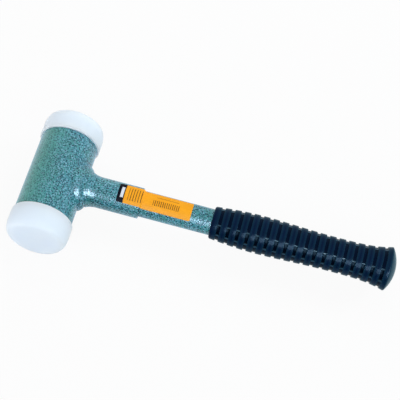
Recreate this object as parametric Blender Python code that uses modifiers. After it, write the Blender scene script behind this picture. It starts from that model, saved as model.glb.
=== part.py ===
"""Dead blow hammer: a shot-filled steel tube head with two plastic faces, on a welded tube handle.

The hammer lies flat. The handle runs along +X, the head's axis along Y, and +Z is up. Sizes are worked
out from the centre of the head; the frame empty then sets the origin under the middle of the hammer.
"""

import math

import bmesh
import bpy

MM = 0.001

# Head
FACE_DIAMETER = 50.0 * MM
FACE_SIDE_LENGTH = 9.6 * MM       # straight side of a face, next to the head tube
FACE_EDGE_LENGTH = 9.0 * MM       # the rounded edge, along the head's axis
FACE_EDGE_DEPTH = 3.0 * MM        # the rounded edge, towards the axis
FACE_CROWN = 0.8 * MM
FACE_FLAT_DIAMETER = 20.0 * MM    # flat middle of the crowned face
SPIGOT_LENGTH = 11.0 * MM
HEAD_DIAMETER = 47.0 * MM
HEAD_LENGTH = 73.7 * MM
HEAD_WALL = 4.0 * MM
HEAD_CHAMFER = 0.5 * MM
DISC_THICKNESS = 2.0 * MM

# Shot charge
SHOT_DIAMETER = 8.0 * MM
SHOT_PER_ROW = 4
SHOT_LEVEL = 0.5 * MM             # highest ball centres, above the head's axis

# Handle, measured from the head's axis
HANDLE_REACH = 279.7 * MM
TUBE_DIAMETER = 21.3 * MM
TUBE_WALL = 2.5 * MM
NECK_REACH = 70.8 * MM
NECK_WALL = 1.6 * MM
NECK_CHAMFER = 0.4 * MM
FLARE_LENGTH = 8.4 * MM
FLARE_HEIGHT = 1.9 * MM
WELD_LEG = 4.3 * MM
WELD_SINK = 3.0 * MM              # the bead's centre, below the corner that it fills

# Grip, measured from its front end; walls are rubber over the tube
GRIP_LENGTH = 150.2 * MM
FRONT_WALL = 2.1 * MM
SWELL_WALL = 4.55 * MM
SWELL_AT = 38.0 * MM
WAIST_WALL = 2.95 * MM
WAIST_AT = 98.0 * MM
FLANGE_WALL = 6.8 * MM
FLANGE_POWER = 3.5                # how late the butt's flare starts
FRONT_ROUNDING = 1.2 * MM
GROOVE_COUNT = 18
GROOVE_LEAD = 6.8 * MM            # front end to the first groove
GROOVE_TAIL = 10.9 * MM           # last groove to the butt's end
GROOVE_WIDTH = 3.3 * MM
GROOVE_FLOOR = 2.7 * MM
GROOVE_DEPTH = 1.7 * MM
DOME_RISE = 6.4 * MM
FLANGE_ROUNDING = 1.0 * MM
BUTT_THICKNESS = 12.0 * MM        # rubber behind the tube's end

# Sticker
LABEL_SHIFT = -0.9 * MM           # off the middle of the stretch between the flare and the grip
LABEL_LENGTH = 60.6 * MM
LABEL_WIDTH = 17.6 * MM
LABEL_THICKNESS = 0.3 * MM
LABEL_TURN = math.radians(5.0)    # its middle, from the top towards the front face
LABEL_RAMP = 2.4 * MM             # where it drops from the socket to the tube

# Fits and facets
GAP = 0.3 * MM                    # between pieces that touch
LABEL_GAP = 0.2 * MM
MERGE = 0.001 * MM
HEAD_FACETS = 56
NECK_FACETS = 48
TUBE_FACETS = 40
GRIP_FACETS = 32
WELD_STEPS = 48
BEAD_STEPS = 4
LABEL_STEPS = 10
ARC_STEPS = 6
RIM_STEPS = 3
SHOT_DETAIL = 2

# Places that follow from the sizes
face_r = FACE_DIAMETER / 2
head_r = HEAD_DIAMETER / 2
bore_r = head_r - HEAD_WALL
tube_r = TUBE_DIAMETER / 2
socket_r = tube_r + GAP
neck_r = socket_r + NECK_WALL
foot_r = neck_r + FLARE_HEIGHT
flare_start = head_r + GAP + WELD_LEG
flare_end = flare_start + FLARE_LENGTH
grip_start = HANDLE_REACH - GRIP_LENGTH
tube_start = head_r + GAP
tube_end = HANDLE_REACH - BUTT_THICKNESS
flange_r = socket_r + FLANGE_WALL
label_start = (flare_end + grip_start - LABEL_LENGTH) / 2 + LABEL_SHIFT
disc_y = HEAD_LENGTH / 2 - SPIGOT_LENGTH - GAP - DISC_THICKNESS / 2
lowest = max(face_r, head_r, flange_r)
frame_place = ((max(face_r, head_r) - HANDLE_REACH) / 2, 0.0, lowest)

ALONG_HANDLE = (0.0, math.pi / 2, 0.0)
TO_REAR = (-math.pi / 2, 0.0, 0.0)
TO_FRONT = (math.pi / 2, 0.0, 0.0)


def clear_scene():
    for obj in list(bpy.data.objects):
        bpy.data.objects.remove(obj, do_unlink=True)


def new_collection(name):
    collection = bpy.data.collections.new(name)
    bpy.context.scene.collection.children.link(collection)
    return collection


def make_material(name, colour, roughness, metallic):
    material = bpy.data.materials.new(name)
    material.use_nodes = True
    shader = material.node_tree.nodes["Principled BSDF"]
    shader.inputs["Base Color"].default_value = (*colour, 1.0)
    shader.inputs["Roughness"].default_value = roughness
    shader.inputs["Metallic"].default_value = metallic
    return material


def add_object(name, data, parent, material):
    obj = bpy.data.objects.new(name, data)
    parts.objects.link(obj)
    obj.parent = parent
    if material is not None:
        data.materials.clear()
        data.materials.append(material)
    return obj


def as_cutter(obj):
    parts.objects.unlink(obj)
    cutters.objects.link(obj)
    obj.hide_render = True
    obj.display_type = "WIRE"
    return obj


def arc(centre, radii, start, end, steps=ARC_STEPS):
    """Points of an ellipse's arc, (radius, height), with angles from the +radius direction."""
    points = []
    for i in range(steps + 1):
        angle = start + (end - start) * i / steps
        points.append((centre[0] + radii[0] * math.cos(angle), centre[1] + radii[1] * math.sin(angle)))
    return points


def turned(name, outline, facets, rotation, parent, material=None):
    """An outline of (radius, height) points, top to bottom down its outer side, turned about local Z."""
    edges = [(i, i + 1) for i in range(len(outline) - 1)]
    if outline[0][0] > 0:
        edges.append((len(outline) - 1, 0))
    mesh = bpy.data.meshes.new(name)
    mesh.from_pydata([(radius, 0.0, height) for radius, height in outline], edges, [])
    obj = add_object(name, mesh, parent, material)
    obj.rotation_euler = rotation
    turn = obj.modifiers.new("turn", "SCREW")
    turn.axis = "Z"
    turn.angle = 2 * math.pi
    turn.steps = facets
    turn.render_steps = facets
    turn.use_merge_vertices = True
    turn.merge_threshold = MERGE
    turn.use_smooth_shade = True
    return obj


def cut(obj, cutter):
    boolean = obj.modifiers.new("cut_" + cutter.name, "BOOLEAN")
    boolean.operation = "DIFFERENCE"
    boolean.object = cutter


def head_tube(frame):
    half = HEAD_LENGTH / 2
    outline = [
        (bore_r, half),
        (head_r - HEAD_CHAMFER, half),
        (head_r, half - HEAD_CHAMFER),
        (head_r, HEAD_CHAMFER - half),
        (head_r - HEAD_CHAMFER, -half),
        (bore_r, -half),
    ]
    turned("head_tube", outline, HEAD_FACETS, TO_REAR, frame, paint)


def face_insert(name, frame, rotation):
    """A face and its spigot; local Z points out of the head."""
    back = HEAD_LENGTH / 2 + GAP
    edge_base = back + FACE_SIDE_LENGTH
    rim = edge_base + FACE_EDGE_LENGTH
    rim_r = face_r - FACE_EDGE_DEPTH
    flat_r = FACE_FLAT_DIAMETER / 2
    spigot_r = bore_r - GAP
    edge = arc((rim_r, edge_base), (FACE_EDGE_DEPTH, FACE_EDGE_LENGTH), math.pi / 2, 0.0)
    outline = [(0.0, rim + FACE_CROWN), (flat_r, rim + FACE_CROWN)]
    outline += edge
    outline += [(face_r, back), (spigot_r, back)]
    outline += [(spigot_r, HEAD_LENGTH / 2 - SPIGOT_LENGTH), (0.0, HEAD_LENGTH / 2 - SPIGOT_LENGTH)]
    turned(name, outline, HEAD_FACETS, rotation, frame, nylon)


def chamber_disc(name, frame, side):
    bpy.ops.mesh.primitive_cylinder_add(vertices=HEAD_FACETS, radius=bore_r - GAP, depth=DISC_THICKNESS)
    made = bpy.context.object
    disc = add_object(name, made.data, frame, bare_steel)
    bpy.data.objects.remove(made)
    disc.location = (0.0, side * disc_y, 0.0)
    disc.rotation_euler = TO_REAR


def shot_places():
    """Close-packed rows along Y, from the lowest line of the bore up to the shot's level."""
    pitch = SHOT_DIAMETER + GAP
    row_step = pitch * math.sqrt(3) / 2
    layer_step = pitch * math.sqrt(2 / 3)
    reach = bore_r - GAP - SHOT_DIAMETER / 2
    places = []
    layer = 0
    while layer * layer_step - reach <= SHOT_LEVEL:
        z = layer * layer_step - reach
        half_width = math.sqrt(max(reach * reach - z * z, 0.0))
        shift = layer * row_step / 3
        first = math.ceil((-half_width - shift) / row_step - MERGE)
        last = math.floor((half_width - shift) / row_step + MERGE)
        for row in range(first, last + 1):
            stagger = pitch / 4 if (row + layer) % 2 else -pitch / 4
            for i in range(SHOT_PER_ROW):
                y = (i - (SHOT_PER_ROW - 1) / 2) * pitch + stagger
                places.append((row * row_step + shift, y, z))
        layer += 1
    return places


def shot_charge(frame):
    """The loose balls, all carried by one empty on the head's axis."""
    charge = bpy.data.objects.new("shot_charge", None)
    parts.objects.link(charge)
    charge.parent = frame
    ball_mesh = bpy.data.meshes.new("shot")
    form = bmesh.new()
    bmesh.ops.create_icosphere(form, subdivisions=SHOT_DETAIL, radius=SHOT_DIAMETER / 2)
    form.to_mesh(ball_mesh)
    form.free()
    ball_mesh.shade_smooth()
    for number, place in enumerate(shot_places(), start=1):
        ball = add_object(f"shot_{number:02d}", ball_mesh, charge, bare_steel)
        ball.location = place


def neck_socket(frame, head_cutter):
    flare_r = (FLARE_LENGTH ** 2 + FLARE_HEIGHT ** 2) / (2 * FLARE_HEIGHT)
    spread = math.asin(FLARE_LENGTH / flare_r)
    outline = [
        (socket_r, NECK_REACH),
        (neck_r - NECK_CHAMFER, NECK_REACH),
        (neck_r, NECK_REACH - NECK_CHAMFER),
    ]
    outline += arc((neck_r + flare_r, flare_end), (flare_r, flare_r), math.pi, math.pi + spread)
    outline += [(foot_r, 0.0), (socket_r, 0.0)]
    neck = turned("neck_socket", outline, NECK_FACETS, ALONG_HANDLE, frame, paint)
    cut(neck, head_cutter)


def neck_weld(frame, head_cutter, neck_cutter):
    """A bead along the saddle where the socket's foot meets the head, cut clear of both."""
    path_r = foot_r - WELD_SINK
    bead_r = math.hypot(WELD_LEG + WELD_SINK, WELD_SINK)
    curve = bpy.data.curves.new("weld_path", "CURVE")
    curve.dimensions = "3D"
    curve.bevel_depth = bead_r
    curve.bevel_resolution = BEAD_STEPS
    spline = curve.splines.new("POLY")
    spline.points.add(WELD_STEPS - 1)
    spline.use_cyclic_u = True
    for i, point in enumerate(spline.points):
        turn = 2 * math.pi * i / WELD_STEPS
        saddle = math.sqrt(head_r ** 2 - (foot_r * math.cos(turn)) ** 2)
        point.co = (saddle - WELD_SINK, path_r * math.sin(turn), path_r * math.cos(turn), 1.0)
    path = bpy.data.objects.new("weld_path", curve)
    parts.objects.link(path)
    bead_mesh = bpy.data.meshes.new_from_object(path.evaluated_get(bpy.context.evaluated_depsgraph_get()))
    bpy.data.objects.remove(path)
    form = bmesh.new()
    form.from_mesh(bead_mesh)
    bmesh.ops.remove_doubles(form, verts=form.verts, dist=MERGE)
    form.to_mesh(bead_mesh)
    form.free()
    bead = add_object("neck_weld", bead_mesh, frame, paint)
    cut(bead, head_cutter)
    cut(bead, neck_cutter)


def handle_tube(frame):
    inner_r = tube_r - TUBE_WALL
    outline = [(inner_r, tube_end), (tube_r, tube_end), (tube_r, tube_start), (inner_r, tube_start)]
    turned("handle_tube", outline, TUBE_FACETS, ALONG_HANDLE, frame, paint)


def rib_radius(along):
    """Radius over the ribs at a distance from the grip's front: a swell, a waist and a flared butt."""
    flange_at = GRIP_LENGTH - DOME_RISE
    if along <= SWELL_AT:
        wall = FRONT_WALL + (SWELL_WALL - FRONT_WALL) * math.sin(math.pi / 2 * along / SWELL_AT)
    elif along <= WAIST_AT:
        part = (along - SWELL_AT) / (WAIST_AT - SWELL_AT)
        wall = SWELL_WALL + (WAIST_WALL - SWELL_WALL) * (3 - 2 * part) * part ** 2
    else:
        part = (along - WAIST_AT) / (flange_at - WAIST_AT)
        wall = WAIST_WALL + (FLANGE_WALL - WAIST_WALL) * part ** FLANGE_POWER
    return socket_r + wall


def butt_outline():
    """The domed end and the rounded edge of its flange."""
    edge_r = flange_r - FLANGE_ROUNDING
    edge_base = GRIP_LENGTH - DOME_RISE
    ball_r = (edge_r ** 2 + DOME_RISE ** 2) / (2 * DOME_RISE)
    spread = math.asin(edge_r / ball_r)
    dome = arc((0.0, GRIP_LENGTH - ball_r), (ball_r, ball_r), math.pi / 2, math.pi / 2 - spread)
    dome[0] = (0.0, GRIP_LENGTH)
    edge_centre = (edge_r, edge_base - FLANGE_ROUNDING)
    return dome + arc(edge_centre, (FLANGE_ROUNDING, FLANGE_ROUNDING), math.pi / 4, 0.0, RIM_STEPS)


def grip_sleeve(frame):
    outline = butt_outline()
    pitch = (GRIP_LENGTH - GROOVE_LEAD - GROOVE_TAIL) / (GROOVE_COUNT - 1)
    for i in reversed(range(GROOVE_COUNT)):
        middle = GROOVE_LEAD + i * pitch
        floor_r = rib_radius(middle) - GROOVE_DEPTH
        upper = middle + GROOVE_WIDTH / 2
        lower = middle - GROOVE_WIDTH / 2
        upper_r = flange_r if i == GROOVE_COUNT - 1 else rib_radius(upper)
        outline += [(upper_r, upper), (floor_r, middle + GROOVE_FLOOR / 2)]
        outline += [(floor_r, middle - GROOVE_FLOOR / 2), (rib_radius(lower), lower)]
    front_r = rib_radius(0.0) - FRONT_ROUNDING
    rounding = rib_radius(FRONT_ROUNDING) - front_r
    outline += arc((front_r, FRONT_ROUNDING), (rounding, FRONT_ROUNDING), 0.0, -math.pi / 2, RIM_STEPS)
    bore_depth = tube_end + GAP - grip_start
    outline += [(socket_r, 0.0), (socket_r, bore_depth), (0.0, bore_depth)]
    grip = turned("grip_sleeve", outline, GRIP_FACETS, ALONG_HANDLE, frame, rubber)
    grip.location = (grip_start, 0.0, 0.0)


def label(frame):
    """A sticker of one width, wrapped over the socket and, past its end, down on to the tube."""
    upper_r = neck_r + LABEL_GAP
    lower_r = tube_r + LABEL_GAP
    drop = NECK_REACH + LABEL_GAP
    stations = [
        (label_start, upper_r),
        (drop, upper_r),
        (drop + LABEL_RAMP, lower_r),
        (label_start + LABEL_LENGTH, lower_r),
    ]
    sheet = bmesh.new()
    rows = []
    for along, radius in stations:
        row = []
        for i in range(LABEL_STEPS + 1):
            turn = LABEL_TURN + LABEL_WIDTH / radius * (i / LABEL_STEPS - 0.5)
            row.append(sheet.verts.new((along, -radius * math.sin(turn), radius * math.cos(turn))))
        rows.append(row)
    for near, far in zip(rows, rows[1:]):
        for i in range(LABEL_STEPS):
            sheet.faces.new((near[i], near[i + 1], far[i + 1], far[i]))
    mesh = bpy.data.meshes.new("label")
    sheet.to_mesh(mesh)
    sheet.free()
    sticker = add_object("label", mesh, frame, sticker_film)
    thicken = sticker.modifiers.new("thickness", "SOLIDIFY")
    thicken.thickness = LABEL_THICKNESS
    thicken.offset = 1.0


def build():
    frame = bpy.data.objects.new("hammer_frame", None)
    parts.objects.link(frame)
    frame.location = frame_place

    half = HEAD_LENGTH / 2
    head_block = [(0.0, half), (head_r + GAP, half), (head_r + GAP, -half), (0.0, -half)]
    head_cutter = as_cutter(turned("head_cutter", head_block, HEAD_FACETS, TO_REAR, frame))
    foot_block = [(0.0, NECK_REACH), (foot_r + GAP, NECK_REACH), (foot_r + GAP, 0.0), (0.0, 0.0)]
    neck_cutter = as_cutter(turned("neck_cutter", foot_block, NECK_FACETS, ALONG_HANDLE, frame))

    head_tube(frame)
    face_insert("face_insert_front", frame, TO_FRONT)
    face_insert("face_insert_rear", frame, TO_REAR)
    chamber_disc("chamber_disc_front", frame, -1)
    chamber_disc("chamber_disc_rear", frame, 1)
    shot_charge(frame)
    neck_socket(frame, head_cutter)
    neck_weld(frame, head_cutter, neck_cutter)
    handle_tube(frame)
    grip_sleeve(frame)
    label(frame)


clear_scene()
parts = new_collection("dead_blow_hammer")
cutters = new_collection("cutters")
paint = make_material("hammertone_paint", (0.098, 0.266, 0.323), 0.35, 0.0)
nylon = make_material("white_nylon", (0.78, 0.83, 0.88), 0.45, 0.0)
bare_steel = make_material("bare_steel", (0.50, 0.50, 0.52), 0.35, 1.0)
rubber = make_material("black_rubber", (0.010, 0.020, 0.040), 0.55, 0.0)
sticker_film = make_material("orange_film", (1.0, 0.38, 0.01), 0.35, 0.0)
build()
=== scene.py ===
"""Looks of the dead blow hammer: fine meshes, finishes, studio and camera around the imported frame.

Every piece is modelled about the centre of the head, where the handle's axis meets the head's axis.
The handle runs along +X, the head along Y with its front face at -Y, and +Z is up.
"""

import math

import bmesh
import bpy
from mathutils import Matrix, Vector


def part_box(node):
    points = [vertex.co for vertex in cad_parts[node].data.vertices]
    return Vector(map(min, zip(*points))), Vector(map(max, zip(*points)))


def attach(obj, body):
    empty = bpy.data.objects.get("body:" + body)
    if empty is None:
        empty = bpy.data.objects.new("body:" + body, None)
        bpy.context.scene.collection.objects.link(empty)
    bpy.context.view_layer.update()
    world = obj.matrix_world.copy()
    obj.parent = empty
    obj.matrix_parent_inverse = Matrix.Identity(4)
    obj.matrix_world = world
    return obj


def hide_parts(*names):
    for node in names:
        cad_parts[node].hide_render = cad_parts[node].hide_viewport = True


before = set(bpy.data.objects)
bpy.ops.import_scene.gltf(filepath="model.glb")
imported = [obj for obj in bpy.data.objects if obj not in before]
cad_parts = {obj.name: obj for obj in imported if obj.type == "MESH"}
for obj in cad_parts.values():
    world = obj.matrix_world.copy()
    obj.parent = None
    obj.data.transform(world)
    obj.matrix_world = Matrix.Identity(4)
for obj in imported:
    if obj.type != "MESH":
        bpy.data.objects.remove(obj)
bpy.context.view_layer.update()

MM = 0.001

# Head
HEAD_WALL = 4.0 * MM
HEAD_ROUNDING = 0.5 * MM
FACE_EDGE_LENGTH = 9.0 * MM
FACE_CROWN = 0.8 * MM
FACE_FLAT_RADIUS = 10.0 * MM
FACE_POWER = 7.0                  # how square the edge is: 2 would be an ellipse
FACE_BACK_ROUNDING = 0.4 * MM
FACE_SEAM = 0.04 * MM             # what is left open between a face and the head tube
SPIGOT_PLAY = 0.2 * MM
SPIGOT_ROUNDING = 0.8 * MM

# Neck
NECK_WALL = 1.9 * MM
NECK_ROUNDING = 0.45 * MM
FLARE_LENGTH = 8.4 * MM
FLARE_HEIGHT = 1.9 * MM
WELD_LEG = 4.6 * MM
WELD_SINK = 3.0 * MM
WELD_RIPPLES = 74
WELD_RIPPLE_HEIGHT = 0.07 * MM
WELD_WAVE_HEIGHT = 0.12 * MM
WELD_WAVES = ((3, 0.6, 1.0), (7, 2.1, 0.6))     # waves in a turn, phase and share of the height
WELD_TOLERANCE = 0.0001           # radians about the bead, in the search for its toe

# Handle
TUBE_WALL = 2.5 * MM
TUBE_ROUNDING = 0.5 * MM

# Grip, measured from its front end; walls are the rubber outside the solid's bore
FRONT_WALL = 2.1 * MM
SWELL_WALL = 4.55 * MM
SWELL_AT = 38.0 * MM
WAIST_WALL = 2.95 * MM
WAIST_AT = 98.0 * MM
FLANGE_WALL = 6.8 * MM
FLANGE_POWER = 3.5
FRONT_ROUNDING = 1.6 * MM
GROOVE_COUNT = 18
GROOVE_LEAD = 6.8 * MM
GROOVE_TAIL = 10.9 * MM
GROOVE_WIDTH = 2.6 * MM
GROOVE_DEPTH = 1.9 * MM
SHALLOW_SHARE = 0.58              # depth of a groove outside the pockets between two of its webs
RIB_ROUNDING = 0.5 * MM
FLOOR_ROUNDING = 0.35 * MM
WEB_TURNS = (-31.0, 35.0, 74.0)   # degrees from the top towards the front, and again half a turn on
WEB_WIDTHS = (1.2 * MM, 0.6 * MM, 1.0 * MM)
WEB_EDGE = 0.35 * MM
WEB_DROP = 0.4 * MM               # web tops below the rib tops
WEB_DIP = 0.06                    # share of the groove's further depth that a web follows
SHADE_RATE = 1.5                  # a groove counts as full shade before its full depth
DOME_RISE = 5.0 * MM
FLANGE_ROUNDING = 1.3 * MM
BORE_PLAY = 0.3 * MM
SHADE_LAYER = "groove_shade"
WEB_LAYER = "groove_web"
EDGE_LAYER = "rib_edge"

# Sticker
LABEL_WIDTH = 17.6 * MM
LABEL_TURN = math.radians(5.0)
LABEL_RAMP = 2.4 * MM
LABEL_CORNER = 1.2 * MM
LABEL_LIFT = 0.02 * MM
LABEL_THICKNESS = 0.13 * MM

# Finishes: sizes of their patterns, and colours at places on a ramp
PAINT_BEAD = 1.2 * MM
PAINT_PATCH = 9.0 * MM
PAINT_PATCH_SHIFT = (0.031, 0.007, 0.013)
PAINT_CLOUD = 16.0 * MM
PAINT_GREEN = ((0.34, (0.033, 0.227, 0.189)), (0.52, (0.049, 0.276, 0.234)), (0.68, (0.068, 0.319, 0.279)))
# The bluer tones are painted reflection: a copy of the paint for the side towards the handle, where blue
# glints fall
PAINT_BLUE_REFLECTION = ((0.34, (0.029, 0.203, 0.243)), (0.52, (0.043, 0.246, 0.300)), (0.68, (0.061, 0.288, 0.353)))
PAINT_DRIFT = ((0.3, 0.93), (0.7, 1.07))
PAINT_RELIEF = 0.2 * MM
# Where the painted blue reflection starts and ends, and its patches
BLUE_REFLECTION_START = -14.0 * MM           # from the head's axis towards the handle
BLUE_REFLECTION_END = 6.0 * MM
BLUE_REFLECTION_PATCHES = ((0.38, 0.60), (0.62, 1.0))
PITS = {"spacing": 1.35 * MM, "inner": 0.44 * MM, "outer": 0.61 * MM}
PIT_COLOUR = (0.0005, 0.024, 0.045)
PIT_SHARE = 0.65
PIT_SHARE_GAIN = 0.32             # what the blue end adds to the share
PIT_DEPTH_SHARE = 0.2
# Pale flakes: partly real metal flakes, partly painted glints, thicker towards the handle
FLAKES = {"spacing": 1.6 * MM, "inner": 0.44 * MM, "outer": 0.72 * MM}
FLAKE_SHIFT = (0.011, 0.017, 0.023)
FLAKE_GLINT_COLOUR = (0.21, 0.46, 0.61)
FLAKE_SHARE = 0.12
FLAKE_SHARE_GAIN = 0.70
HEAD_GLOSS = 0.5
HEAD_GLOSS_RELIEF = 0.024 * MM
SHAFT_GLOSS = 0.31
SHAFT_GLOSS_RELIEF = 0.60 * MM
NYLON_CLOUD = 18.0 * MM
NYLON_GRAIN = 0.35 * MM
NYLON_WHITE = ((0.3, (0.740, 0.819, 0.972)), (0.7, (0.764, 0.842, 0.985)))
NYLON_DEPTH = 10.0 * MM
NYLON_RELIEF = 0.02 * MM
RUBBER_CLOUD = 9.0 * MM
RUBBER_GRAIN = 0.25 * MM
RUBBER_BLACK = ((0.3, (0.0008, 0.0052, 0.0240)), (0.7, (0.0014, 0.0074, 0.0330)))
# Painted highlight and sheen: a paler rubber on the rib edges and the butt
RUBBER_PAINTED_SHEEN = (0.0080, 0.0500, 0.0820)
# Painted glints: a paler rubber on the webs
RUBBER_WEB_GLINT = (0.0140, 0.0500, 0.0840)
# Painted shade in the grooves' floors
RUBBER_GROOVE_SHADE = (0.0002, 0.0018, 0.0090)
RUBBER_RELIEF = 0.015 * MM
# Share of the painted highlight on the rib edges
EDGE_HIGHLIGHT_SHARE = 0.30
BUTT_LEAD = 1.2 * MM              # how far before the butt's edge its painted sheen starts
BUTT_FADE = 4.0 * MM
RIB_GLOSS = 0.048
GROOVE_GLOSS = 0.018
WEB_GLOSS_GAIN = 0.40
BUTT_GLOSS_GAIN = 0.07
STEEL_SCRATCH = 0.4 * MM
STEEL_GREY = ((0.3, (0.42, 0.42, 0.43)), (0.7, (0.56, 0.56, 0.57)))
STEEL_RELIEF = 0.01 * MM
FILM_CLOUD = 9.0 * MM
FILM_ORANGE = ((0.3, (0.91, 0.370, 0.015)), (0.7, (0.97, 0.408, 0.019)))
INK = (0.055, 0.030, 0.015)
INK_SHARE = 0.85
BAND_BLACK = (0.003, 0.003, 0.008)
BAND_LENGTH = 5.6 * MM
PANEL_WHITE = (0.72, 0.76, 0.82)

# Print on the sticker, in mm: areas as start, end, and from one side to the other of its middle line
PANEL = (2.4, 4.8, -4.6, 4.6)
PRINT = (                         # an area, the pitch of its ticks, and the share of it that is ink
    ((8.6, 21.0, -5.6, 5.6), 2.1, 0.30),
    ((29.0, 51.0, -1.2, 4.4), 1.6, 0.40),
    ((31.0, 49.0, -4.9, -4.1), 1.1, 0.60),
)

# Fineness
TURNED_SEGMENTS = 160
GRIP_SEGMENTS = 90
WELD_SEGMENTS = 444
ARC_STEPS = 8
FACE_STEPS = 40
GROOVE_FLOOR_STEPS = 3
RIB_STEPS = 4
WEB_EDGE_STEPS = 3
LABEL_STEPS = 14
SHARP = math.radians(40.0)

# Places that follow from the frame
head_low, head_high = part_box("head_tube")
centre = (head_low + head_high) / 2
head_r = (head_high.x - head_low.x) / 2
head_half = (head_high.y - head_low.y) / 2
bore_r = head_r - HEAD_WALL
face_low, face_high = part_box("face_insert_rear")
face_r = (face_high.x - face_low.x) / 2
face_tip = face_high.y - centre.y
face_inner = face_low.y - centre.y
tube_low, tube_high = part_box("handle_tube")
tube_r = (tube_high.y - tube_low.y) / 2
tube_start = tube_low.x - centre.x
tube_end = tube_high.x - centre.x
neck_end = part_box("neck_socket")[1].x - centre.x
neck_r = tube_r + NECK_WALL
foot_r = neck_r + FLARE_HEIGHT
flare_start = head_r + WELD_LEG
flare_end = flare_start + FLARE_LENGTH
grip_low, grip_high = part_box("grip_sleeve")
grip_start = grip_low.x - centre.x
grip_length = grip_high.x - grip_low.x
grip_bore_r = tube_r + BORE_PLAY
flange_r = grip_bore_r + FLANGE_WALL
label_low, label_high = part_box("label")
label_start = label_low.x - centre.x
label_length = label_high.x - label_low.x


# Shapes

def smoothstep(value):
    value = min(max(value, 0.0), 1.0)
    return value * value * (3 - 2 * value)


def quarter(steps):
    """Angles from 0 to a quarter turn."""
    return [math.pi / 2 * i / steps for i in range(steps + 1)]


def arc(middle, radii, start, end, steps=ARC_STEPS):
    """Points of an ellipse's arc, (radius, along), with angles from the +radius direction."""
    points = []
    for i in range(steps + 1):
        angle = start + (end - start) * i / steps
        points.append((middle[0] + radii[0] * math.cos(angle), middle[1] + radii[1] * math.sin(angle)))
    return points


def rounded(corners):
    """An outline through (radius, along, rounding) corners, with an arc of that rounding at each one."""
    points = []
    for i, (radius, along, rounding) in enumerate(corners):
        here = Vector((radius, along))
        if rounding == 0.0:
            points.append(tuple(here))
            continue
        before = (Vector(corners[i - 1][:2]) - here).normalized()
        after = (Vector(corners[(i + 1) % len(corners)][:2]) - here).normalized()
        half = before.angle(after) / 2
        middle = here + (before + after).normalized() * rounding / math.sin(half)
        reach = rounding / math.tan(half)
        first = here + before * reach - middle
        last = here + after * reach - middle
        sweep = first.angle_signed(last)
        start = math.atan2(first.y, first.x)
        points += arc(middle, (rounding, rounding), start, start - sweep)
    return points


def about_head(radius, along, turn):
    return Vector((radius * math.sin(turn), along, radius * math.cos(turn)))


def about_handle(radius, along, turn):
    return Vector((along, -radius * math.sin(turn), radius * math.cos(turn)))


def even_turns(count):
    return [2 * math.pi * i / count for i in range(count)]


def finished_mesh(name, form):
    mesh = bpy.data.meshes.new(name)
    form.to_mesh(mesh)
    form.free()
    return mesh


def put(name, data):
    """A new object in the scene."""
    thing = bpy.data.objects.new(name, data)
    bpy.context.scene.collection.objects.link(thing)
    return thing


def skin(name, rows, loop=False):
    """A closed mesh over rows of points, each row a ring; a row of one point closes an end."""
    form = bmesh.new()
    rings = [[form.verts.new(point) for point in row] for row in rows]
    pairs = list(zip(rings, rings[1:]))
    if loop:
        pairs.append((rings[-1], rings[0]))
    for near, far in pairs:
        count = max(len(near), len(far))
        for i in range(count):
            j = (i + 1) % count
            corners = (near[i % len(near)], near[j % len(near)], far[j % len(far)], far[i % len(far)])
            form.faces.new(list(dict.fromkeys(corners)))
    bmesh.ops.recalc_face_normals(form, faces=form.faces)
    mesh = finished_mesh(name, form)
    mesh.shade_smooth()
    mesh.set_sharp_from_angle(angle=SHARP)
    return mesh


def turned(name, outline, about):
    """An outline of (radius, along) points turned into a solid; points on the axis close its ends."""
    rows = []
    for radius, along in outline:
        turns = even_turns(TURNED_SEGMENTS) if radius > 0 else [0.0]
        rows.append([about(radius, along, turn) for turn in turns])
    return skin(name, rows, loop=outline[0][0] > 0)


def dress(name, mesh, material, body, node):
    """A piece at the head's centre that rides on a body and stands for a node."""
    piece = put(name, mesh)
    piece.location = centre
    mesh.materials.append(material)
    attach(piece, body)
    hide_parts(node)


# Node materials

def new_finish(name):
    material = bpy.data.materials.new(name)
    material.use_nodes = True
    tree = material.node_tree
    return material, tree, tree.nodes["Principled BSDF"]


def set_inputs(tree, node, values):
    for key, value in values.items():
        if isinstance(value, bpy.types.NodeSocket):
            tree.links.new(value, node.inputs[key])
        else:
            node.inputs[key].default_value = value


def add(tree, kind, values, **settings):
    node = tree.nodes.new("ShaderNode" + kind)
    for key, value in settings.items():
        setattr(node, key, value)
    set_inputs(tree, node, values)
    return node


def layer_value(tree, name):
    return add(tree, "Attribute", {}, attribute_name=name).outputs["Fac"]


def math_node(tree, operation, *values):
    return add(tree, "Math", dict(enumerate(values)), operation=operation).outputs[0]


def coordinates(tree):
    return add(tree, "TexCoord", {}).outputs["Object"]


def noise(tree, place, size, detail=2.0):
    texture = add(tree, "TexNoise", {"Vector": place, "Scale": 1 / size, "Detail": detail})
    return texture.outputs["Fac"]


def fade(tree, value, start, end):
    """0 up to a start, rising to 1 at an end."""
    return add(tree, "MapRange", {"Value": value, "From Min": start, "From Max": end}).outputs[0]


def ramp(tree, factor, *stops):
    """A colour ramp of (place, colour) stops; a colour is three values or one grey."""
    node = add(tree, "ValToRGB", {"Fac": factor})
    elements = node.color_ramp.elements
    while len(elements) < len(stops):
        elements.new(1.0)
    for element, (place, colour) in zip(elements, stops):
        element.position = place
        element.color = (*colour, 1.0) if isinstance(colour, tuple) else (colour, colour, colour, 1.0)
    return node.outputs["Color"]


def mix(tree, factor, first, second, blend="MIX"):
    node = add(tree, "Mix", {0: factor}, data_type="RGBA", blend_type=blend)
    for index, colour in ((6, first), (7, second)):
        value = colour if isinstance(colour, bpy.types.NodeSocket) else (*colour, 1.0)
        set_inputs(tree, node, {index: value})
    return node.outputs[2]


def bump(tree, height, depth, strength=1.0):
    node = add(tree, "Bump", {"Height": height, "Distance": depth, "Strength": strength})
    return node.outputs["Normal"]


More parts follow.
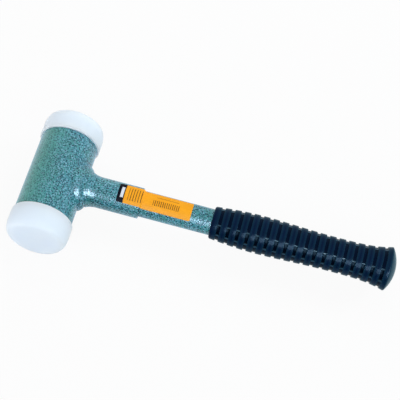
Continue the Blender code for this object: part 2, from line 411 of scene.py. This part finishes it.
def spots(tree, place, spacing, inner, outer):
    """1 in small spots about a spacing apart, falling to 0 between two radii."""
    cells = add(tree, "TexVoronoi", {"Vector": place, "Scale": 1 / spacing}, feature="F1")
    return ramp(tree, cells.outputs["Distance"], (inner / spacing, 1.0), (outer / spacing, 0.0))


def moved(tree, place, offset):
    return add(tree, "VectorMath", {0: place, 1: offset}, operation="ADD").outputs[0]


def hammertone(name, gloss, gloss_relief):
    """Green paint drawn up into small glossy beads, with pits; towards the handle a painted blue
    reflection, and pale flakes that are partly real flakes and partly painted glints.
    """
    material, tree, shader = new_finish(name)
    place = coordinates(tree)
    beads = noise(tree, place, PAINT_BEAD)
    clouds = noise(tree, place, PAINT_CLOUD)
    patches = noise(tree, moved(tree, place, PAINT_PATCH_SHIFT), PAINT_PATCH)
    along = add(tree, "SeparateXYZ", {0: place}).outputs["X"]
    # 0 to 1 towards the handle: where the painted blue reflection and the flakes' painted glints gather
    reach = fade(tree, along, BLUE_REFLECTION_START, BLUE_REFLECTION_END)
    pits = spots(tree, place, **PITS)
    # pale flakes, partly real metal flakes and partly painted glints
    flakes = spots(tree, moved(tree, place, FLAKE_SHIFT), **FLAKES)
    blue_reflection_share = math_node(tree, "MULTIPLY", reach, ramp(tree, patches, *BLUE_REFLECTION_PATCHES))
    plain = mix(tree, blue_reflection_share, ramp(tree, beads, *PAINT_GREEN), ramp(tree, beads, *PAINT_BLUE_REFLECTION))
    flake_most = math_node(tree, "MULTIPLY_ADD", reach, FLAKE_SHARE_GAIN, FLAKE_SHARE)
    flake_glinted = mix(tree, math_node(tree, "MULTIPLY", flakes, flake_most), plain, FLAKE_GLINT_COLOUR)
    pit_most = math_node(tree, "MULTIPLY_ADD", reach, PIT_SHARE_GAIN, PIT_SHARE)
    pit_share = math_node(tree, "MULTIPLY", pits, pit_most)
    pitted = mix(tree, pit_share, flake_glinted, PIT_COLOUR)
    height = math_node(tree, "SUBTRACT", beads, math_node(tree, "MULTIPLY", pits, PIT_DEPTH_SHARE))
    set_inputs(tree, shader, {
        "Base Color": mix(tree, 1.0, pitted, ramp(tree, clouds, *PAINT_DRIFT), "MULTIPLY"),
        "Roughness": 0.26,
        "Specular IOR Level": 0.3,
        "Specular Tint": (1.0, 0.92, 1.0, 1.0),
        "Coat Weight": math_node(tree, "MULTIPLY_ADD", pit_share, -gloss, gloss),
        "Coat Roughness": 0.09,
        "Sheen Weight": 0.5,
        "Sheen Roughness": 0.35,
        "Sheen Tint": (0.18, 0.62, 1.0, 1.0),
        "Normal": bump(tree, height, PAINT_RELIEF),
        "Coat Normal": bump(tree, height, gloss_relief),
    })
    return material


def nylon():
    """Moulded white nylon with a faint drift in tone and a fine satin grain."""
    material, tree, shader = new_finish("white_nylon")
    place = coordinates(tree)
    clouds = noise(tree, place, NYLON_CLOUD, detail=3.0)
    grain = noise(tree, place, NYLON_GRAIN, detail=3.0)
    set_inputs(tree, shader, {
        "Base Color": ramp(tree, clouds, *NYLON_WHITE),
        "Roughness": ramp(tree, grain, (0.3, 0.42), (0.7, 0.55)),
        "Specular IOR Level": 0.10,
        "Sheen Weight": 0.6,
        "Sheen Roughness": 0.3,
        "Subsurface Weight": 1.0,
        "Subsurface Radius": (1.0, 1.0, 1.0),
        "Subsurface Scale": NYLON_DEPTH,
        "Normal": bump(tree, grain, NYLON_RELIEF, strength=0.4),
    })
    return material


def rubber():
    """Black moulded rubber with a blue cast; painted shade makes it darkest in its grooves, and painted
    highlights make it paler on rib edges, webs and butt.
    """
    material, tree, shader = new_finish("black_rubber")
    place = coordinates(tree)
    clouds = noise(tree, place, RUBBER_CLOUD, detail=4.0)
    grain = noise(tree, place, RUBBER_GRAIN, detail=3.0)
    shade = layer_value(tree, SHADE_LAYER)
    web = layer_value(tree, WEB_LAYER)
    edge = layer_value(tree, EDGE_LAYER)
    along = add(tree, "SeparateXYZ", {0: place}).outputs["X"]
    butt_start = grip_start + grip_length - DOME_RISE - FLANGE_ROUNDING - BUTT_LEAD
    butt = fade(tree, along, butt_start, butt_start + BUTT_FADE)
    # painted highlight on the rib edges and painted sheen on the butt, both as paler rubber
    sheen_share = math_node(tree, "MAXIMUM", butt, math_node(tree, "MULTIPLY", edge, EDGE_HIGHLIGHT_SHARE))
    sheened = mix(tree, sheen_share, ramp(tree, clouds, *RUBBER_BLACK), RUBBER_PAINTED_SHEEN)
    # painted glints: paler rubber on the webs
    web_glinted = mix(tree, web, sheened, RUBBER_WEB_GLINT)
    gloss = math_node(tree, "MULTIPLY_ADD", shade, GROOVE_GLOSS - RIB_GLOSS, RIB_GLOSS)
    for share, gain in ((web, WEB_GLOSS_GAIN), (butt, BUTT_GLOSS_GAIN)):
        gloss = math_node(tree, "MULTIPLY_ADD", share, gain, gloss)
    set_inputs(tree, shader, {
        # painted shade darkens the groove floors
        "Base Color": mix(tree, shade, web_glinted, RUBBER_GROOVE_SHADE),
        "Roughness": 0.26,
        "Specular IOR Level": 0.02,
        "Specular Tint": (0.30, 0.72, 1.0, 1.0),
        "Coat Weight": gloss,
        "Coat Roughness": 0.18,
        "Sheen Weight": 0.23,
        "Sheen Roughness": 0.40,
        "Sheen Tint": (0.14, 0.58, 0.68, 1.0),
        "Normal": bump(tree, grain, RUBBER_RELIEF, strength=0.4),
    })
    return material


def steel():
    """Bare steel with fine scratches."""
    material, tree, shader = new_finish("bare_steel")
    place = coordinates(tree)
    wipes = noise(tree, place, STEEL_SCRATCH, detail=4.0)
    set_inputs(tree, shader, {
        "Base Color": ramp(tree, wipes, *STEEL_GREY),
        "Roughness": ramp(tree, wipes, (0.3, 0.28), (0.7, 0.42)),
        "Metallic": 1.0,
        "Normal": bump(tree, wipes, STEEL_RELIEF, strength=0.5),
    })
    return material


def within(tree, value, low, high):
    """1 where a value lies between two limits, 0 elsewhere."""
    return math_node(tree, "COMPARE", value, (low + high) / 2, (high - low) / 2)


def film():
    """Orange printed film with a black end band, a plain white panel, rules and ticks."""
    material, tree, shader = new_finish("orange_film")
    place = coordinates(tree)
    axes = add(tree, "SeparateXYZ", {0: place}).outputs
    along = math_node(tree, "SUBTRACT", axes["X"], label_start)
    front = math_node(tree, "MULTIPLY", axes["Y"], -1.0)
    turn = math_node(tree, "SUBTRACT", math_node(tree, "ARCTAN2", front, axes["Z"]), LABEL_TURN)
    across = math_node(tree, "MULTIPLY", turn, neck_r)

    def block(start, end, near, far):
        inside = within(tree, along, start * MM, end * MM)
        return math_node(tree, "MULTIPLY", inside, within(tree, across, near * MM, far * MM))

    def stripes(pitch, share):
        part = math_node(tree, "FRACT", math_node(tree, "DIVIDE", along, pitch * MM))
        return math_node(tree, "LESS_THAN", part, share)

    ink = 0.0
    for area, pitch, share in PRINT:
        ink = math_node(tree, "MULTIPLY_ADD", block(*area), stripes(pitch, share), ink)
    drift = noise(tree, place, FILM_CLOUD, detail=3.0)
    inked = mix(tree, math_node(tree, "MULTIPLY", ink, INK_SHARE), ramp(tree, drift, *FILM_ORANGE), INK)
    banded = mix(tree, within(tree, along, -MM, BAND_LENGTH), inked, BAND_BLACK)
    set_inputs(tree, shader, {
        "Base Color": mix(tree, block(*PANEL), banded, PANEL_WHITE),
        "Roughness": ramp(tree, drift, (0.3, 0.40), (0.7, 0.48)),
        "Specular IOR Level": 0.06,
    })
    return material


# Pieces

def head_shell(material):
    outline = rounded([
        (bore_r, head_half, HEAD_ROUNDING),
        (head_r, head_half, HEAD_ROUNDING),
        (head_r, -head_half, HEAD_ROUNDING),
        (bore_r, -head_half, HEAD_ROUNDING),
    ])
    mesh = turned("head_shell", outline, about_head)
    dress("head_shell", mesh, material, "hammer", "head_tube")


def face_outline():
    """Half a face's section, from the middle of the struck side round to the middle of the spigot."""
    back = head_half + FACE_SEAM
    reach = face_r - FACE_FLAT_RADIUS
    drop = FACE_CROWN + FACE_EDGE_LENGTH
    outline = [(0.0, face_tip)]
    for angle in quarter(FACE_STEPS):
        radius = FACE_FLAT_RADIUS + reach * math.sin(angle) ** (2 / FACE_POWER)
        outline.append((radius, face_tip - drop + drop * math.cos(angle)))
    spigot_r = bore_r - SPIGOT_PLAY
    corners = rounded([
        (face_r, face_tip - drop, 0.0),
        (face_r, back, FACE_BACK_ROUNDING),
        (spigot_r, back, 0.0),
        (spigot_r, face_inner, SPIGOT_ROUNDING),
        (0.0, face_inner, 0.0),
    ])
    return outline + corners[1:]


def face(name, node, body, side, material):
    outline = [(radius, side * along) for radius, along in face_outline()]
    mesh = turned(name, outline, about_head)
    dress(name, mesh, material, body, node)


def saddle(radius, turn):
    """How far out along the handle the head's surface lies, at a radius about the handle."""
    return math.sqrt(head_r ** 2 - (radius * math.cos(turn)) ** 2)


def neck_sleeve(material):
    curve_r = (FLARE_LENGTH ** 2 + FLARE_HEIGHT ** 2) / (2 * FLARE_HEIGHT)
    spread = math.asin(FLARE_LENGTH / curve_r)
    outline = arc((neck_r + curve_r, flare_end), (curve_r, curve_r), math.pi + spread, math.pi,
                  2 * ARC_STEPS)
    outline += rounded([
        (neck_r, flare_end, 0.0),
        (neck_r, neck_end, NECK_ROUNDING),
        (tube_r, neck_end, 0.0),
    ])[1:]
    turns = even_turns(TURNED_SEGMENTS)
    rows = [[about_handle(tube_r, saddle(tube_r, turn), turn) for turn in turns]]
    rows.append([about_handle(foot_r, saddle(foot_r, turn), turn) for turn in turns])
    rows += [[about_handle(radius, along, turn) for turn in turns] for radius, along in outline]
    mesh = skin("neck_sleeve", rows, loop=True)
    dress("neck_sleeve", mesh, material, "hammer", "neck_socket")


def weld_section(turn):
    """Points over the bead at one turn, from its toe on the head to its toe on the neck."""
    ripple = 0.5 - 0.5 * math.cos(WELD_RIPPLES * turn)
    wave = sum(share * math.sin(count * turn + phase) for count, phase, share in WELD_WAVES)
    bead_r = math.hypot(WELD_LEG + WELD_SINK, WELD_SINK) + WELD_WAVE_HEIGHT * wave / 2
    along = saddle(foot_r, turn) - WELD_SINK
    radius = foot_r - WELD_SINK

    def at(angle, lift=0.0):
        reach = bead_r + lift
        return radius + reach * math.sin(angle), along + reach * math.cos(angle)

    neck_angle = math.asin(WELD_SINK / bead_r)
    low, high = neck_angle, math.pi
    while high - low > WELD_TOLERANCE:
        middle = (low + high) / 2
        r, x = at(middle)
        if x * x + (r * math.cos(turn)) ** 2 > head_r ** 2:
            low = middle
        else:
            high = middle
    section = []
    for i in range(2 * ARC_STEPS + 1):
        part = i / (2 * ARC_STEPS)
        angle = high + (neck_angle - high) * part
        lift = WELD_RIPPLE_HEIGHT * ripple * math.sin(math.pi * part)
        section.append(at(angle, lift))
    return section


def weld_bead(material):
    turns = even_turns(WELD_SEGMENTS)
    sections = [weld_section(turn) for turn in turns]
    rows = [[about_handle(*section[i], turn) for section, turn in zip(sections, turns)]
            for i in range(len(sections[0]))]
    root_r = foot_r - WELD_SINK
    rows.append([about_handle(root_r, saddle(root_r, turn) + WELD_LEG, turn) for turn in turns])
    rows.append([about_handle(root_r, saddle(root_r, turn) - WELD_LEG / 2, turn) for turn in turns])
    mesh = skin("weld_bead", rows, loop=True)
    dress("weld_bead", mesh, material, "hammer", "neck_weld")


def handle_shaft(material):
    inner_r = tube_r - TUBE_WALL
    outline = rounded([
        (inner_r, tube_end, 0.0),
        (tube_r, tube_end, TUBE_ROUNDING),
        (tube_r, tube_start, 0.0),
        (inner_r, tube_start, 0.0),
    ])
    mesh = turned("handle_shaft", outline, about_handle)
    dress("handle_shaft", mesh, material, "hammer", "handle_tube")


def rib_radius(along):
    """Radius over the ribs at a distance from the grip's front: a swell, a waist and a flared butt."""
    flange_at = grip_length - DOME_RISE - FLANGE_ROUNDING
    if along <= SWELL_AT:
        wall = FRONT_WALL + (SWELL_WALL - FRONT_WALL) * math.sin(math.pi / 2 * along / SWELL_AT)
    elif along <= WAIST_AT:
        part = smoothstep((along - SWELL_AT) / (WAIST_AT - SWELL_AT))
        wall = SWELL_WALL + (WAIST_WALL - SWELL_WALL) * part
    else:
        part = (along - WAIST_AT) / (flange_at - WAIST_AT)
        wall = WAIST_WALL + (FLANGE_WALL - WAIST_WALL) * part ** FLANGE_POWER
    return grip_bore_r + wall


def groove_half():
    """(distance from the groove's middle, depth) points, from the middle of its floor up to the rib."""
    half = GROOVE_WIDTH / 2
    floor = half - FLOOR_ROUNDING
    points = [(0.0, GROOVE_DEPTH)]
    points += [(floor + FLOOR_ROUNDING * math.sin(a), GROOVE_DEPTH - FLOOR_ROUNDING * (1 - math.cos(a)))
               for a in quarter(GROOVE_FLOOR_STEPS)]
    points += [(half + RIB_ROUNDING * (1 - math.cos(a)), RIB_ROUNDING * (1 - math.sin(a)))
               for a in quarter(RIB_STEPS)]
    return points


def webs():
    """(turn, width) of every web in a groove."""
    return [(math.radians(turn) + half * math.pi, width)
            for turn, width in zip(WEB_TURNS, WEB_WIDTHS) for half in range(2)]


def web_share(turn):
    """1 on a web, 0 between webs, for a turn about the handle."""
    outside = min(abs(math.remainder(turn - web, 2 * math.pi)) * neck_r - width / 2
                  for web, width in webs())
    return 1 - smoothstep(outside / WEB_EDGE)


def web_depth(depth):
    """How deep a web lies where the groove would have a depth."""
    return min(depth, WEB_DROP + WEB_DIP * (depth - WEB_DROP))


def depth_share(turn):
    """1 in the deep pockets between the last two webs, SHALLOW_SHARE elsewhere."""
    degrees = math.degrees(turn) % 180
    return 1.0 if WEB_TURNS[1] < degrees < WEB_TURNS[2] else SHALLOW_SHARE


def grip_columns():
    """Turns of the grip's columns: even ones, and close ones at the webs' edges."""
    close = set()
    for web, width in webs():
        steps = [width / 2 + WEB_EDGE * i / WEB_EDGE_STEPS for i in range(WEB_EDGE_STEPS + 1)]
        for reach in [0.0] + steps:
            close |= {round((web + side * reach / neck_r) % (2 * math.pi), 6) for side in (-1, 1)}
    least = math.pi / GRIP_SEGMENTS
    columns = list(close)
    for turn in even_turns(GRIP_SEGMENTS):
        if min(abs(math.remainder(turn - other, 2 * math.pi)) for other in close) > least:
            columns.append(turn)
    return sorted(columns)


def rubber_grip(material):
    """The sleeve, tight on the tube, with its grooves, their webs and a domed butt."""
    sides = [(turn, web_share(turn), depth_share(turn)) for turn in grip_columns()]
    stations = []

    def ring(radius, along, depth=0.0, edge=0.0):
        stations.append((radius, along, depth, edge))

    bore_depth = tube_end + BORE_PLAY - grip_start
    ring(0.0, bore_depth)
    ring(tube_r, bore_depth)
    ring(tube_r, 0.0)
    front_r = rib_radius(0.0) - FRONT_ROUNDING
    nose = arc((front_r, FRONT_ROUNDING), (rib_radius(FRONT_ROUNDING) - front_r, FRONT_ROUNDING),
               -math.pi / 2, 0.0)
    for radius, along in nose:
        ring(radius, along)
    pitch = (grip_length - GROOVE_LEAD - GROOVE_TAIL) / (GROOVE_COUNT - 1)
    half = groove_half()
    for i in range(GROOVE_COUNT):
        middle = GROOVE_LEAD + i * pitch
        profile = [(-s, d) for s, d in reversed(half)] + half[1:]
        for offset, depth in profile:
            ring(rib_radius(middle + offset), middle + offset, depth, max(1 - depth / RIB_ROUNDING, 0.0))
        if i < GROOVE_COUNT - 1:
            ring(rib_radius(middle + pitch / 2), middle + pitch / 2)
    edge_r = flange_r - FLANGE_ROUNDING
    edge_depth = DOME_RISE + FLANGE_ROUNDING
    ball_r = (edge_r ** 2 + edge_depth ** 2 - FLANGE_ROUNDING ** 2) / (2 * DOME_RISE)
    meeting = math.atan2(ball_r - edge_depth, edge_r)
    edge = arc((edge_r, grip_length - edge_depth), (FLANGE_ROUNDING, FLANGE_ROUNDING), 0.0, meeting)
    dome = arc((0.0, grip_length - ball_r), (ball_r, ball_r), meeting, math.pi / 2, 2 * ARC_STEPS)
    for radius, along in edge + dome[1:-1]:
        ring(radius, along)
    ring(0.0, grip_length)

    rows = []
    layers = {SHADE_LAYER: [], WEB_LAYER: [], EDGE_LAYER: []}
    for radius, along, depth, edge in stations:
        inside = smoothstep(SHADE_RATE * depth / GROOVE_DEPTH)
        row = []
        for turn, web, share in sides if radius > 0 else [(0.0, 0.0, 0.0)]:
            drop = depth * share + (web_depth(depth) - depth * share) * web
            row.append(about_handle(radius - drop, grip_start + along, turn))
            # the layers carry painted shade for the grooves, painted glints for the webs and a painted
            # highlight for the rib edges
            layers[SHADE_LAYER].append(inside * (1 - web) * share)
            layers[WEB_LAYER].append(inside * web)
            layers[EDGE_LAYER].append(edge)
        rows.append(row)
    mesh = skin("rubber_grip", rows)
    for layer, values in layers.items():
        mesh.attributes.new(layer, "FLOAT", "POINT").data.foreach_set("value", values)
    dress("rubber_grip", mesh, material, "hammer", "grip_sleeve")


def sticker(material):
    """A thin film with round corners that follows the sleeve and drops on to the tube."""
    drop_start = neck_end + LABEL_LIFT
    stations = [LABEL_CORNER * (1 - math.cos(angle)) for angle in quarter(ARC_STEPS)]
    stations += [drop_start - label_start + LABEL_RAMP * i / ARC_STEPS for i in range(ARC_STEPS + 1)]
    stations += [label_length - along for along in reversed(stations[:ARC_STEPS + 1])]

    def surface(along, across, height):
        drop = smoothstep((label_start + along - drop_start) / LABEL_RAMP)
        radius = neck_r + (tube_r - neck_r) * drop + height
        inset = LABEL_CORNER - min(along, label_length - along, LABEL_CORNER)
        half = LABEL_WIDTH / 2 - LABEL_CORNER + math.sqrt(max(LABEL_CORNER ** 2 - inset ** 2, 0.0))
        turn = LABEL_TURN + half * across / radius
        return about_handle(radius, label_start + along, turn)

    sides = [2 * i / LABEL_STEPS - 1 for i in range(LABEL_STEPS + 1)]
    rows = []
    for along in stations:
        upper = [surface(along, side, LABEL_LIFT + LABEL_THICKNESS) for side in sides]
        lower = [surface(along, side, LABEL_LIFT) for side in reversed(sides)]
        rows.append(upper + lower)
    mesh = skin("sticker", rows)
    form = bmesh.new()
    form.from_mesh(mesh)
    bmesh.ops.holes_fill(form, edges=[edge for edge in form.edges if edge.is_boundary])
    bmesh.ops.recalc_face_normals(form, faces=form.faces)
    form.to_mesh(mesh)
    form.free()
    dress("sticker", mesh, material, "hammer", "label")


# Studio

CAMERA_PLACE = (0.0360, -0.5023, 0.8846)
CAMERA_ANGLES = (30.85, -5.30, 14.07)
CAMERA_LENS = 112.3
CAMERA_SENSOR = 36.0
DOME_STRENGTH = 0.44
# A lamp gives light alone (mirrored off) or only shows in reflections (lit off)
LAMPS = {
    "key": {"place": (0.42, -0.84, 1.04), "size": (0.9, 0.7), "power": 6.0, "colour": (0.92, 0.96, 1.0),
            "mirrored": False},
    "fill": {"place": (-0.92, -0.90, 0.27), "size": (0.8, 0.5), "power": 6.0, "colour": (0.88, 0.92, 1.0),
             "mirrored": False},
    "back": {"place": (-0.13, 0.50, 0.52), "aim": (-0.10, 0.0, 0.025), "size": (0.7, 0.6), "power": 1.8,
             "colour": (0.98, 0.99, 1.0), "mirrored": False},
    "rim": {"place": (1.05, 0.49, 0.78), "size": (0.5, 0.4), "power": 6.0, "colour": (0.85, 0.94, 1.0),
            "mirrored": False},
    "gloss": {"place": (0.255, -0.435, 0.37), "aim": (-0.02, 0.0, 0.025), "size": (0.72, 0.29),
              "power": 16.0, "colour": (0.62, 0.84, 1.0), "lit": False},
    "sky": {"place": (1.0, 0.62, 0.55), "aim": (-0.12, 0.0, 0.025), "size": (1.0, 0.9), "power": 1.8,
            "colour": (0.30, 0.62, 1.0), "lit": False},
}
FLAG_NEAR = -0.06
FLAG_FAR = -0.36
FLAG_HEIGHT = 0.06
FLAG_WIDTH = 2.4
FLAG_BLACK = (0.01, 0.01, 0.012, 1)
FLOOR_SIZE = 8.0
FLOOR_GLOW = 0.93
FLOOR_GREY = (0.70, 0.70, 0.70, 1)
WHITE = (1, 1, 1, 1)


def camera():
    data = bpy.data.cameras.new("camera")
    data.sensor_width = CAMERA_SENSOR
    data.lens = CAMERA_LENS
    view = put("camera", data)
    view.location = CAMERA_PLACE
    view.rotation_euler = [math.radians(angle) for angle in CAMERA_ANGLES]
    bpy.context.scene.camera = view


def lamp(name, place, size, power, colour, aim=(0.0, 0.0, 0.0), lit=True, mirrored=True):
    """A soft box that faces a point; it can leave out its light or its mirror image."""
    data = bpy.data.lights.new(name, "AREA")
    data.shape = "RECTANGLE"
    data.size, data.size_y = size
    data.energy = power
    data.color = colour
    light = put(name, data)
    light.location = place
    light.rotation_euler = (Vector(place) - Vector(aim)).to_track_quat("Z", "Y").to_euler()
    light.visible_camera = False
    light.visible_diffuse = lit
    light.visible_glossy = mirrored


def shown_rays(tree):
    """1 for the rays that show a background: camera, glossy and transmission rays."""
    path = add(tree, "LightPath", {}).outputs
    glossy = math_node(tree, "MAXIMUM", path["Is Glossy Ray"], path["Is Transmission Ray"])
    return math_node(tree, "MAXIMUM", path["Is Camera Ray"], glossy)


def backdrop():
    world = bpy.data.worlds.new("studio")
    world.use_nodes = True
    tree = world.node_tree
    glow = tree.nodes["Background"]
    lit = math_node(tree, "MULTIPLY", shown_rays(tree), 1.0 - DOME_STRENGTH)
    set_inputs(tree, glow, {"Color": WHITE, "Strength": math_node(tree, "ADD", lit, DOME_STRENGTH)})
    bpy.context.scene.world = world


def floor():
    form = bmesh.new()
    bmesh.ops.create_grid(form, x_segments=1, y_segments=1, size=FLOOR_SIZE / 2)
    mesh = finished_mesh("floor", form)
    plane = put("floor", mesh)
    material, tree, shader = new_finish("pale_floor")
    tree.nodes.remove(shader)
    matte = add(tree, "BsdfDiffuse", {"Color": FLOOR_GREY}).outputs[0]
    white = add(tree, "Emission", {"Color": WHITE, "Strength": 1.0}).outputs[0]
    share = math_node(tree, "MULTIPLY", shown_rays(tree), FLOOR_GLOW)
    mixed = add(tree, "MixShader", {0: share, 1: matte, 2: white}).outputs[0]
    set_inputs(tree, tree.nodes["Material Output"], {"Surface": mixed})
    mesh.materials.append(material)


def flag():
    """A black card bent up from the floor in front, which only reflections show."""
    half = FLAG_WIDTH / 2
    form = bmesh.new()
    rows = []
    for y, z in ((FLAG_NEAR, MM), (FLAG_FAR, MM), (FLAG_FAR, FLAG_HEIGHT)):
        rows.append([form.verts.new((x, y, z)) for x in (-half, half)])
    for (a, b), (c, d) in zip(rows, rows[1:]):
        form.faces.new((a, b, d, c))
    mesh = finished_mesh("flag", form)
    card = put("flag", mesh)
    card.visible_camera = False
    card.visible_diffuse = False
    card.visible_shadow = False
    material, tree, shader = new_finish("black_card")
    set_inputs(tree, shader, {"Base Color": FLAG_BLACK, "Specular IOR Level": 0.0})
    mesh.materials.append(material)


paint = hammertone("hammertone", HEAD_GLOSS, HEAD_GLOSS_RELIEF)
plastic = nylon()
metal = steel()
head_shell(paint)
face("front_face", "face_insert_front", "front_insert", -1, plastic)
face("rear_face", "face_insert_rear", "rear_insert", 1, plastic)
neck_sleeve(paint)
weld_bead(paint)
handle_shaft(hammertone("hammertone_shaft", SHAFT_GLOSS, SHAFT_GLOSS_RELIEF))
rubber_grip(rubber())
sticker(film())
for name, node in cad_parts.items():
    if name.startswith(("shot_", "chamber_disc_")):
        node.data.materials.clear()
        node.data.materials.append(metal)

camera()
for name, settings in LAMPS.items():
    lamp(name, **settings)
backdrop()
floor()
flag()
bpy.context.scene.view_settings.view_transform = "Standard"
